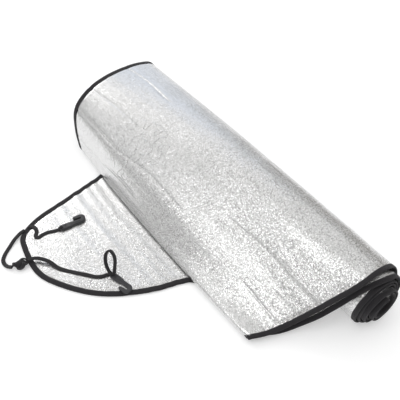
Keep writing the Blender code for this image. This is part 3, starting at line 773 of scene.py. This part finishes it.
def grid_points():
    """Flat grid points: (from, to, u step, v step) for each stretch of the cover."""
    fold_u = stations[fold_at]
    stretches = (
        (0.0, LOOSE_SIDE - 0.016, 0.0040, 0.0045),
        (LOOSE_SIDE - 0.016, LOOSE_SIDE + 0.010, 0.0015, 0.0045),
        (LOOSE_SIDE + 0.010, LOOSE_SIDE + 0.36, 0.0100, 0.0140),
        (LOOSE_SIDE + 0.36, CORE - 0.012, 0.0080, 0.0300),
        (CORE - 0.012, CORE + 0.012, 0.0012, 0.0300),
        (CORE + 0.012, TUCKED_SIDE - 0.75, 0.0080, 0.0300),
        (TUCKED_SIDE - 0.75, TUCKED_SIDE - 0.43, 0.0060, 0.0100),
        (TUCKED_SIDE - 0.43, fold_u - 0.006, 0.0038, 0.0042),
        (fold_u - 0.006, fold_u + 0.006, 0.0008, 0.0042),
        (fold_u + 0.006, TUCKED_SIDE + 0.24, 0.0120, 0.0160),
    )
    found = []
    for start, stop, du, dv in stretches:
        us = np.arange(start, stop, (stop - start) / max(1, round((stop - start) / du)))
        vs = np.arange(-0.41, 0.40, dv)
        found.append(np.stack(np.meshgrid(us, vs, indexing="ij"), -1).reshape(-1, 2))
    return np.concatenate(found)


print("grid before the cut:", len(grid_points()), "points")

# %% [markdown]
# The grid keeps clear of the edge, and of the creases too, where rows of closer points follow
# each crease line.

# %% The sheet's grid
edge_length = running_lengths(outline)[-1]
fine_edge = along(np.concatenate([outline, outline[:1]]), np.arange(0, edge_length, EDGE_FINE_STEP))
grid = grid_points()
grid = grid[inside_cut(grid)]
grid = grid[edge_distances(grid) > GRID_MARGIN]
for place, start, stop, _ in DRAPE_CREASES:
    vs = np.arange(min(start, stop) - 0.01, max(start, stop) + 0.01, CREASE_STEP)
    off_line = np.abs(grid[:, 0] - (TUCKED_SIDE + crease_line(place, grid[:, 1])))
    grid = grid[~((off_line < CREASE_CLEAR) & (grid[:, 1] > vs[0]) & (grid[:, 1] < vs[-1]))]
    for row in (-2, -1, 0, 1, 2):
        extra = np.stack([TUCKED_SIDE + crease_line(place, vs) + row * CREASE_ROW, vs], 1)
        extra = extra[inside_cut(extra)]
        grid = np.concatenate([grid, extra[edge_distances(extra) > GRID_MARGIN]])
print("grid:", len(grid), "points")

# %% [markdown]
# The edge and three lines along it come first, so that the tape's squeeze is sharp. The
# triangles never cross the edge, because it is given as a constraint.

# %% The sheet's triangles
rim = outline + inward * EDGE_INSET
insets = (TAPE_WIDTH * 0.5, TAPE_WIDTH + 0.0006, TAPE_WIDTH + 0.0030)
flat_points = np.concatenate([rim] + [outline + inward * d for d in insets] + [grid])
rim_edges = [(k, (k + 1) % len(rim)) for k in range(len(rim))]
flat, _, triangles, _, _, _ = delaunay_2d_cdt([Vector(p) for p in flat_points], rim_edges, [],
                                              1, 1e-7)
flat = np.array([tuple(p) for p in flat])
distance = edge_distances(flat)
print("sheet:", len(flat), "flat points,", len(triangles), "triangles a side")

# %% [markdown]
# Each flat point is laid twice, once for each face of the foam. An edge of only one triangle
# is on the cut, so a wall is drawn there between the two faces.

# %% Lay the sheet
rise = swell(flat[:, 0], flat[:, 1])
half = SQUEEZED_HALF + (HALF_FOAM - SQUEEZED_HALF) * smooth_step(
    distance, TAPE_WIDTH + 0.0003, TAPE_WIDTH + 0.0036)
upper_face = lay(flat[:, 0], flat[:, 1], rise + half)
lower_face = lay(flat[:, 0], flat[:, 1], rise - half)
count = len(flat)
edge_use = {}
faces = []
for a, b, c in triangles:
    faces += [(a, c, b), (a + count, b + count, c + count)]
    for pair in ((a, b), (b, c), (c, a)):
        edge_use.setdefault((min(pair), max(pair)), []).append(pair)
for use in edge_use.values():
    if len(use) == 1:
        a, b = use[0]
        faces.append((a, b, b + count, a + count))
foam_sheet = add_mesh("foam_sheet", np.concatenate([upper_face, lower_face]), faces,
                      aluminised_film, np.concatenate([flat, flat]))
mesh = bmesh.new()
mesh.from_mesh(foam_sheet.data)
bmesh.ops.recalc_face_normals(mesh, faces=mesh.faces)
volume = mesh.calc_volume(signed=True)
if volume < 0:
    bmesh.ops.reverse_faces(mesh, faces=mesh.faces)
mesh.to_mesh(foam_sheet.data)
mesh.free()
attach(foam_sheet, "root")
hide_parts("foil_foam_panel")
print("foam sheet:", len(faces), "faces, volume", round(abs(volume) * 1e6), "cubic cm")

# %% [markdown]
# The edge is bound with a woven polyester tape, folded over it and sewn through all layers
# with one row of black lockstitch. Such tape is nearly matt, with cross ribs about 0.9 mm
# apart. The seam pulls the tape in a little, so it stands proud as a soft bead at the very
# edge. The ribs and the stitches are drawn from the tape's own coordinates.

# %% Woven tape
TAPE_RIB = 0.0009
STITCH = 0.0034
SEAM_INSET = 0.0082

woven_tape, tree, shader = new_material("woven_tape")
cut = add_node(tree, "ShaderNodeUVMap", {"uv_map": "cut"})
ribs = add_node(tree, "ShaderNodeTexWave", {"bands_direction": "X"}, Vector=cut.outputs[0],
                Scale=math.pi / 10 / TAPE_RIB, Distortion=0.6)
place = add_node(tree, "ShaderNodeSeparateXYZ", _0=cut.outputs[0])
stitch_at = add_node(tree, "ShaderNodeMath", {"operation": "PINGPONG"}, _0=place.outputs[0],
                     _1=STITCH / 2)
stitch_gap = add_node(tree, "ShaderNodeMath", {"operation": "GREATER_THAN"},
                      _0=stitch_at.outputs[0], _1=0.0003)
across = add_node(tree, "ShaderNodeMath", {"operation": "ABSOLUTE"}, _0=place.outputs[1])
off_seam = add_node(tree, "ShaderNodeMath", {"operation": "SUBTRACT"}, _0=across.outputs[0],
                    _1=SEAM_INSET)
off_seam = add_node(tree, "ShaderNodeMath", {"operation": "ABSOLUTE"}, _0=off_seam.outputs[0])
thread = add_node(tree, "ShaderNodeMapRange", _0=off_seam.outputs[0], _1=0.0002, _2=0.0005,
                  _3=1.0, _4=0.0)
stitches = add_node(tree, "ShaderNodeMath", {"operation": "MULTIPLY"}, _0=thread.outputs[0],
                    _1=stitch_gap.outputs[0])
relief = add_node(tree, "ShaderNodeMath", {"operation": "MULTIPLY_ADD"}, _0=stitches.outputs[0],
                  _1=1.5, _2=ribs.outputs[1])
lint = add_node(tree, "ShaderNodeTexNoise", Vector=cut.outputs[0], Scale=160.0, Detail=2.0)
ribbed = add_node(tree, "ShaderNodeMix", {"data_type": "RGBA"}, Factor=ribs.outputs[1],
                  A=linear("1b191c"), B=linear("2c292d"))
sewn = add_node(tree, "ShaderNodeMix", {"data_type": "RGBA"}, Factor=stitches.outputs[0],
                A=ribbed.outputs[2], B=linear("3d3b40"))
dusty = add_node(tree, "ShaderNodeMix", {"data_type": "RGBA", "blend_type": "MULTIPLY"},
                 Factor=0.3, A=sewn.outputs[2], B=lint.outputs[0])
raised = add_node(tree, "ShaderNodeBump", Height=relief.outputs[0], Strength=0.6,
                  Distance=0.0003)
tree.links.new(dusty.outputs[2], shader.inputs["Base Color"])
tree.links.new(raised.outputs[0], shader.inputs["Normal"])
shader.inputs["Roughness"].default_value = 0.85
shader.inputs["IOR"].default_value = 1.5
shader.inputs["Sheen Weight"].default_value = 0.1
print("woven tape: ribs", TAPE_RIB * 1000, "mm, stitches", STITCH * 1000, "mm")

# %% [markdown]
# The tape is one folded section, swept along the cut edge on the flat and laid with the sheet.
# It has an outside and an inside, as folded tape has. It comes in the CAD's four runs. The near
# run is drawn a little narrower, as the photo shows two tapes there with a gap between.

# %% Binding
TAPE_SECTION = (
    (0.0100, 0.00150), (0.0092, 0.00162), (0.0082, 0.00145), (0.0068, 0.00160), (0.0045, 0.00165),
    (0.0022, 0.00155), (0.0008, 0.00110), (0.0001, 0.00050), (0.0001, -0.00050), (0.0008, -0.00110),
    (0.0022, -0.00155), (0.0045, -0.00160), (0.0068, -0.00155), (0.0082, -0.00145),
    (0.0092, -0.00155), (0.0100, -0.00150),
)
TAPE_INSIDE = ((0.0100, -0.00110), (0.0060, -0.00105), (0.0010, -0.00060), (0.0010, 0.00060),
               (0.0060, 0.00105), (0.0100, 0.00110))
PUCKER = 0.0003
PUCKER_LENGTH = 0.009
NEAR_TAPE_SHARE = 0.86


def nearest(points, target):
    return int(np.argmin(np.linalg.norm(points - np.array(target), axis=1)))


def binding(name, node, start, end, share=1.0):
    """A folded tape over the edge, from one place on the outline round to another."""
    first, last = nearest(outline, start), nearest(outline, end)
    picked = (first + np.arange((last - first) % len(outline) + 1)) % len(outline)
    run, sides = outline[picked], inward[picked]
    far = running_lengths(run)
    lift = swell(run[:, 0], run[:, 1])
    pucker = PUCKER * np.array([noise.noise(Vector((d / PUCKER_LENGTH, 0.3, 2.1))) for d in far])
    ring = TAPE_SECTION + TAPE_INSIDE
    verts, uvs = [], []
    for k, (inset, height) in enumerate(ring):
        place = run + sides * (inset * share + pucker * (k < len(TAPE_SECTION)))[:, None]
        raised = lift + height + pucker * math.copysign(1, height)
        verts.append(lay(place[:, 0], place[:, 1], raised))
        uvs.append(np.stack([far, np.full(len(far), math.copysign(inset, height))], 1))
    verts = np.stack(verts, 1).reshape(-1, 3)
    uvs = np.stack(uvs, 1).reshape(-1, 2)
    piece = add_mesh(name, verts, capped_faces(len(run), len(ring)), woven_tape, uvs)
    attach(piece, "root")
    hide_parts(node)
    print(name, "length", round(far[-1], 3), "m")


loose_near, loose_far = (LOOSE_SIDE, NEAR_JOINT), (LOOSE_SIDE, FAR_JOINT)
tucked_near, tucked_far = (TUCKED_SIDE, NEAR_JOINT), (TUCKED_SIDE, FAR_JOINT)
binding("near_tape", "near_edge_binding", loose_near, tucked_near, NEAR_TAPE_SHARE)
binding("tucked_ear_tape", "tucked_ear_binding", tucked_near, tucked_far)
binding("far_tape", "far_edge_binding", tucked_far, loose_far)
binding("ear_tape", "ear_binding", loose_far, loose_near)

# %% [markdown]
# The two straps are tied off in an overhand knot. A trefoil is the closed form of that knot,
# so the same flat elastic is swept along a squashed trefoil, pulled tight until its turns
# press on each other. A rounded core stands for the turns that are hidden inside.

# %% Knot
KNOT_PLACE = np.array((-0.4382, 0.0663, 0.0090))
KNOT_REACH = (0.0046, 0.0033, 0.0040)
KNOT_CORE = np.array((0.0108, 0.0084, 0.0062))
KNOT_TURN = math.radians(-10)
KNOT_STEPS = 96
KNOT_STEP = 0.0012
KNOT_LEAN = (0.7, 0.7, 1.6)
KNOT_STRAP_SHARE = 0.9


def knot():
    t = np.linspace(0, 2 * math.pi, KNOT_STEPS + 1)[:-1]
    line = np.stack([
        KNOT_REACH[0] * (np.sin(t) + 2 * np.sin(2 * t)),
        KNOT_REACH[1] * (np.cos(t) - 2 * np.cos(2 * t)),
        -KNOT_REACH[2] * np.sin(3 * t),
    ], 1)
    turn = np.array(((math.cos(KNOT_TURN), -math.sin(KNOT_TURN), 0),
                     (math.sin(KNOT_TURN), math.cos(KNOT_TURN), 0), (0, 0, 1)))
    line = line @ turn.T + KNOT_PLACE
    headings = unit_rows(np.roll(line, -1, 0) - np.roll(line, 1, 0))
    section = strap_section()
    verts, uvs = [], []
    for k, (point, heading) in enumerate(zip(line, headings)):
        out = (point - KNOT_PLACE) * KNOT_LEAN
        out -= heading * out.dot(heading)
        out /= np.linalg.norm(out)
        side = np.cross(out, heading)
        for x, y in section:
            verts.append(point + side * x * KNOT_STRAP_SHARE + out * y)
            uvs.append((k * KNOT_STEP, x))
    size = len(section)
    faces = ring_faces(len(line), size)
    last = (len(line) - 1) * size
    faces += [(last + k, last + (k + 1) % size, (k + 1) % size, k) for k in range(size)]
    piece = add_mesh("elastic_knot", verts, faces, woven_elastic, uvs)
    core = bmesh.new()
    core.from_mesh(piece.data)
    bulk = bmesh.ops.create_uvsphere(core, u_segments=24, v_segments=12, radius=1.0)["verts"]
    for v in bulk:
        v.co = Vector(turn @ (np.array(v.co) * KNOT_CORE)) + Vector(KNOT_PLACE)
    core.to_mesh(piece.data)
    core.free()
    piece.data.shade_smooth()
    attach(piece, "root")
    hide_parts("strap_knot")
    return piece


elastic_knot = knot()
print("knot:", len(elastic_knot.data.polygons), "faces")

# %% [markdown]
# The hooks are injection moulded in black nylon, each a flat J with two slots that the
# elastic is threaded through. Moulded nylon is dark grey with a satin gloss and faint mottling
# from the tool's texture.

# %% Moulded nylon
moulded_nylon, tree, shader = new_material("moulded_nylon")
place = add_node(tree, "ShaderNodeTexCoord")
grain = add_node(tree, "ShaderNodeTexNoise", Vector=place.outputs["Object"], Scale=1800.0,
                 Detail=2.0)
raised = add_node(tree, "ShaderNodeBump", Height=grain.outputs[0], Strength=0.25,
                  Distance=0.0002)
tree.links.new(raised.outputs[0], shader.inputs["Normal"])
shader.inputs["Base Color"].default_value = linear("2f2f32")
shader.inputs["Roughness"].default_value = 0.36
shader.inputs["IOR"].default_value = 1.53
print("moulded nylon:", len(tree.nodes), "nodes")

# %% [markdown]
# A hook is drawn as a flat outline with two holes, as its mould was. A 2D curve fills the
# outline and rounds all of its edges at once, which is simpler than bevelling a mesh. A raised
# rib runs down the middle of the shank.

# %% Hook outline
HOOK_LENGTH = 0.050
HOOK_THICKNESS = 0.0056
HOOK_BODY_WIDTH = 0.0100
HOOK_BODY_LENGTH = 0.0200
HOOK_SHANK_WIDTH = 0.0062
HOOK_THROAT = 0.0056
HOOK_TIP_LENGTH = 0.0100
HOOK_EDGE = 0.0009
HOOK_SHARP_ANGLE = math.radians(45)
HOOK_SLOTS = ((0.0028, 0.0052), (0.0086, 0.0110))
SLOT_LENGTH = 0.0072
HOOK_NOSE = ((0, -0.7), (-0.45, -0.45), (-0.6, 0), (-0.45, 0.45), (0, 0.7))
RIB_PLACE = (0.0290, 0.0, HOOK_THICKNESS / 2 + 0.0002)
RIB_SIZE = (0.022, 0.0014, 0.0008)
RIB_TOP_SHARES = (0.96, 0.6, 1.0)
HOOKS = (
    ("upper_nylon_hook", "upper_hook", (-0.3410, 0.1022), -7.5, 1),
    ("lower_nylon_hook", "lower_hook", (-0.3172, -0.0497), -74.0, -1),
)


def hook_outline():
    """One closed line round the J: body, tapered shank, bend and claw."""
    half, body = HOOK_SHANK_WIDTH / 2, HOOK_BODY_WIDTH / 2
    turn = HOOK_THROAT / 2 + half
    turn_x = HOOK_LENGTH - turn - half
    taper = smooth_line([(0, body - 0.0016), (0.0004, body - 0.0006), (0.0016, body),
                         (0.010, body), (HOOK_BODY_LENGTH, body), (0.0245, body * 0.78),
                         (0.029, half), (0.034, half)], 0.0008)
    a = np.radians(np.linspace(-90, 90, 29))[:, None]
    spokes = np.concatenate([np.cos(a), np.sin(a)], 1)
    centre = np.array((turn_x, turn))
    tip = np.array((turn_x - HOOK_TIP_LENGTH, 2 * turn))
    nose = [tip + half * np.array(shares) for shares in HOOK_NOSE]
    left = np.concatenate([taper, centre + spokes * (turn - half)])
    right = np.concatenate([taper * (1, -1), centre + spokes * (turn + half)])
    return np.concatenate([left, smooth_line(nose, 0.0004), right[::-1]])


print("hook outline:", len(hook_outline()), "points")

# %% [markdown]
# The two hooks lie on the ear, each with its claw to the other side.

# %% Hooks
def add_loop(data, points):
    spline = data.splines.new("POLY")
    spline.points.add(len(points) - 1)
    for target, point in zip(spline.points, points):
        target.co = (point[0], point[1], 0, 1)
    spline.use_cyclic_u = True


def hook(name, node, place, heading, claw_side):
    """One hook, laid on the ear with its body's end at the given place."""
    data = bpy.data.curves.new(name, "CURVE")
    data.dimensions = "2D"
    data.fill_mode = "BOTH"
    data.extrude = HOOK_THICKNESS / 2 - HOOK_EDGE
    data.bevel_depth = HOOK_EDGE
    data.bevel_resolution = 2
    add_loop(data, hook_outline() * (1, claw_side))
    for low, high in HOOK_SLOTS:
        side = SLOT_LENGTH / 2
        add_loop(data, [(low, -side), (high, -side), (high, side), (low, side)])
    drawn = bpy.data.objects.new(name + "_line", data)
    made = bpy.data.meshes.new_from_object(drawn)
    bpy.data.objects.remove(drawn)
    mesh = bmesh.new()
    mesh.from_mesh(made)
    bmesh.ops.remove_doubles(mesh, verts=mesh.verts, dist=1e-5)
    rib = bmesh.ops.create_cube(mesh, size=1.0)["verts"]
    for v in rib:
        shares = RIB_TOP_SHARES if v.co.z > 0 else (1, 1, 1)
        v.co = [p + c * size * s for p, c, size, s in zip(RIB_PLACE, v.co, RIB_SIZE, shares)]
    mesh.to_mesh(made)
    mesh.free()
    made.name = name
    made.shade_smooth()
    made.set_sharp_from_angle(angle=HOOK_SHARP_ANGLE)
    made.materials.clear()
    made.materials.append(moulded_nylon)
    piece = bpy.data.objects.new(name, made)
    piece.location = (place[0], place[1], FOAM_THICKNESS + CLEARANCE + HOOK_THICKNESS / 2)
    piece.rotation_euler = (0, 0, math.radians(heading))
    bpy.context.scene.collection.objects.link(piece)
    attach(piece, "root")
    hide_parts(node)
    return piece


hooks = {node: hook(name, node, *rest) for name, node, *rest in HOOKS}
print("hooks:", [len(h.data.polygons) for h in hooks.values()], "faces")

# %% [markdown]
# Where a strap meets its hook, the elastic goes over the bar between the two slots and back
# down. That short turn is as thin as new elastic, because it is pulled tight.

# %% Strap ends on the hooks
WRAP = (
    (-0.0060, 0.0056), (-0.0035, 0.0078), (-0.0012, 0.0098), (0.0012, 0.0102), (0.0034, 0.0098),
    (0.0041, 0.0080), (0.0042, 0.0060),
)
for name, (_, _, place, heading, _) in zip(("upper_strap_wrap", "lower_strap_wrap"), HOOKS):
    a = math.radians(heading)
    route = [(place[0] + x * math.cos(a), place[1] + x * math.sin(a), z) for x, z in WRAP]
    piece, _, _ = flat_strap(name, route, section=strap_section(STRAP_WIDTH, STRAP_THICKNESS))
    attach(piece, "root")

# %% [markdown]

# %% [markdown]
# The floor is a plain sheet of pale paper. The camera and the reflections see it a little
# lighter than the lamps alone would make it, so that it is white, and it keeps the cover's
# shadow.

# %% Floor
FLOOR_REACH = 6
FLOOR_LIFT = 0.24

floor_paper, tree, shader = new_material("floor_paper")
shader.inputs["Base Color"].default_value = linear("f4f4f4")
shader.inputs["Roughness"].default_value = 0.9
rays = add_node(tree, "ShaderNodeLightPath")
seen = add_node(tree, "ShaderNodeMath", {"operation": "MAXIMUM"}, _0=rays.outputs["Is Camera Ray"],
                _1=rays.outputs["Is Glossy Ray"])
seen = add_node(tree, "ShaderNodeMath", {"operation": "MAXIMUM"}, _0=seen.outputs[0],
                _1=rays.outputs["Is Transmission Ray"])
lift = add_node(tree, "ShaderNodeMath", {"operation": "MULTIPLY"}, _0=seen.outputs[0],
                _1=FLOOR_LIFT)
tree.links.new(lift.outputs[0], shader.inputs["Emission Strength"])
shader.inputs["Emission Color"].default_value = (1, 1, 1, 1)

data = bpy.data.meshes.new("floor")
corners = [(x * FLOOR_REACH, y * FLOOR_REACH, 0) for x, y in ((-1, -1), (1, -1), (1, 1), (-1, 1))]
data.from_pydata(corners, [], [(0, 1, 2, 3)])
data.materials.append(floor_paper)
floor = bpy.data.objects.new("floor", data)
bpy.context.scene.collection.objects.link(floor)
print("floor", 2 * FLOOR_REACH, "m square")

# %% [markdown]
# The camera sees a white background. Everything matt is lit by one plain level. A mirror needs
# a room to mirror, so reflections see one: its brightness goes by height, white at the horizon
# as the floor is, and four sides of it are darker or lighter. They are where the foil in the
# photo says that the room was: dark behind the camera, pale behind the cover, a little blue
# lower down there, and shaded on the right.

# %% World
PLAIN_LEVEL = (0.85, 0.85, 0.85, 1.0)
WHITE = (1.0, 1.0, 1.0, 1.0)
ROOM_BY_HEIGHT = (
    (0.02, WHITE), (0.08, (0.50, 0.50, 0.49, 1.0)), (0.50, (0.60, 0.60, 0.60, 1.0)),
    (0.72, (0.86, 0.86, 0.86, 1.0)), (0.84, (0.86, 0.86, 0.85, 1.0)),
    (0.94, (0.72, 0.72, 0.71, 1.0)),
)
# direction, cosine where the side starts and where it is full, colour
ROOM_SIDES = (
    ((-0.545, -0.740, 0.400), 0.55, 0.85, (0.30, 0.29, 0.28, 1.0)),
    ((0.451, 0.752, 0.481), 0.70, 0.88, (1.02, 1.01, 1.00, 1.0)),
    ((0.601, 0.702, 0.381), 0.88, 0.98, (0.93, 0.99, 1.09, 1.0)),
    ((0.919, 0.200, 0.340), 0.81, 0.95, (0.36, 0.35, 0.33, 1.0)),
)
world = bpy.data.worlds.new("studio")
world.use_nodes = True
bpy.context.scene.world = world
tree = world.node_tree
background = tree.nodes["Background"]
direction = add_node(tree, "ShaderNodeTexCoord").outputs["Generated"]
upward = add_node(tree, "ShaderNodeSeparateXYZ", _0=direction)
by_height = add_node(tree, "ShaderNodeValToRGB", _0=upward.outputs[2])
stops = by_height.color_ramp.elements
stops[0].position, stops[0].color = ROOM_BY_HEIGHT[0]
stops[1].position, stops[1].color = ROOM_BY_HEIGHT[-1]
for position, colour in ROOM_BY_HEIGHT[1:-1]:
    stops.new(position).color = colour
room = by_height.outputs[0]
for way, low, high, colour in ROOM_SIDES:
    towards = add_node(tree, "ShaderNodeVectorMath", {"operation": "DOT_PRODUCT"}, _0=direction,
                       _1=way)
    share = add_node(tree, "ShaderNodeMapRange", _0=towards.outputs["Value"], _1=low, _2=high,
                     _3=0.0, _4=1.0)
    room = add_node(tree, "ShaderNodeMix", {"data_type": "RGBA"}, Factor=share.outputs[0], A=room,
                    B=colour).outputs[2]
rays = add_node(tree, "ShaderNodeLightPath")
mirrored = add_node(tree, "ShaderNodeMath", {"operation": "MAXIMUM"},
                    _0=rays.outputs["Is Glossy Ray"], _1=rays.outputs["Is Transmission Ray"])
lit = add_node(tree, "ShaderNodeMix", {"data_type": "RGBA"}, Factor=mirrored.outputs[0],
               A=PLAIN_LEVEL, B=room)
shown = add_node(tree, "ShaderNodeMix", {"data_type": "RGBA"},
                 Factor=rays.outputs["Is Camera Ray"], A=lit.outputs[2], B=WHITE)
tree.links.new(shown.outputs[2], background.inputs["Color"])
background.inputs["Strength"].default_value = 1.0
print("room:", len(ROOM_BY_HEIGHT), "heights and", len(ROOM_SIDES), "sides")

# %% [markdown]
# A product photographer lights foil with large soft sources, because a mirror shows the lamp
# itself. One softbox hangs on the left, where the near half of the drape's slope mirrors it and
# sparkles. One stands behind the cover, for the ear. The rest of the light comes from the room.

# %% Lamps
# name, place, aim, width, height, watts
LAMPS = (
    ("slope_softbox", (-1.29, -0.22, 2.03), (-0.14, -0.20, 0.05), 1.1, 0.6, 6.8),
    ("back_softbox", (-0.28, 1.87, 1.38), (-0.28, 0.03, 0.0), 0.8, 0.4, 3.5),
)
for name, place, target, wide, tall, watts in LAMPS:
    lamp = bpy.data.lights.new(name, "AREA")
    lamp.shape = "RECTANGLE"
    lamp.size, lamp.size_y = wide, tall
    lamp.energy = watts
    box = bpy.data.objects.new(name, lamp)
    box.location = place
    box.rotation_mode = "QUATERNION"
    box.rotation_quaternion = (Vector(target) - Vector(place)).to_track_quat("-Z", "Y")
    bpy.context.scene.collection.objects.link(box)
    print(name, wide, "by", tall, "m,", watts, "W")

bpy.context.scene.view_settings.view_transform = "Standard"

# %% Finish
bpy.context.view_layer.update()
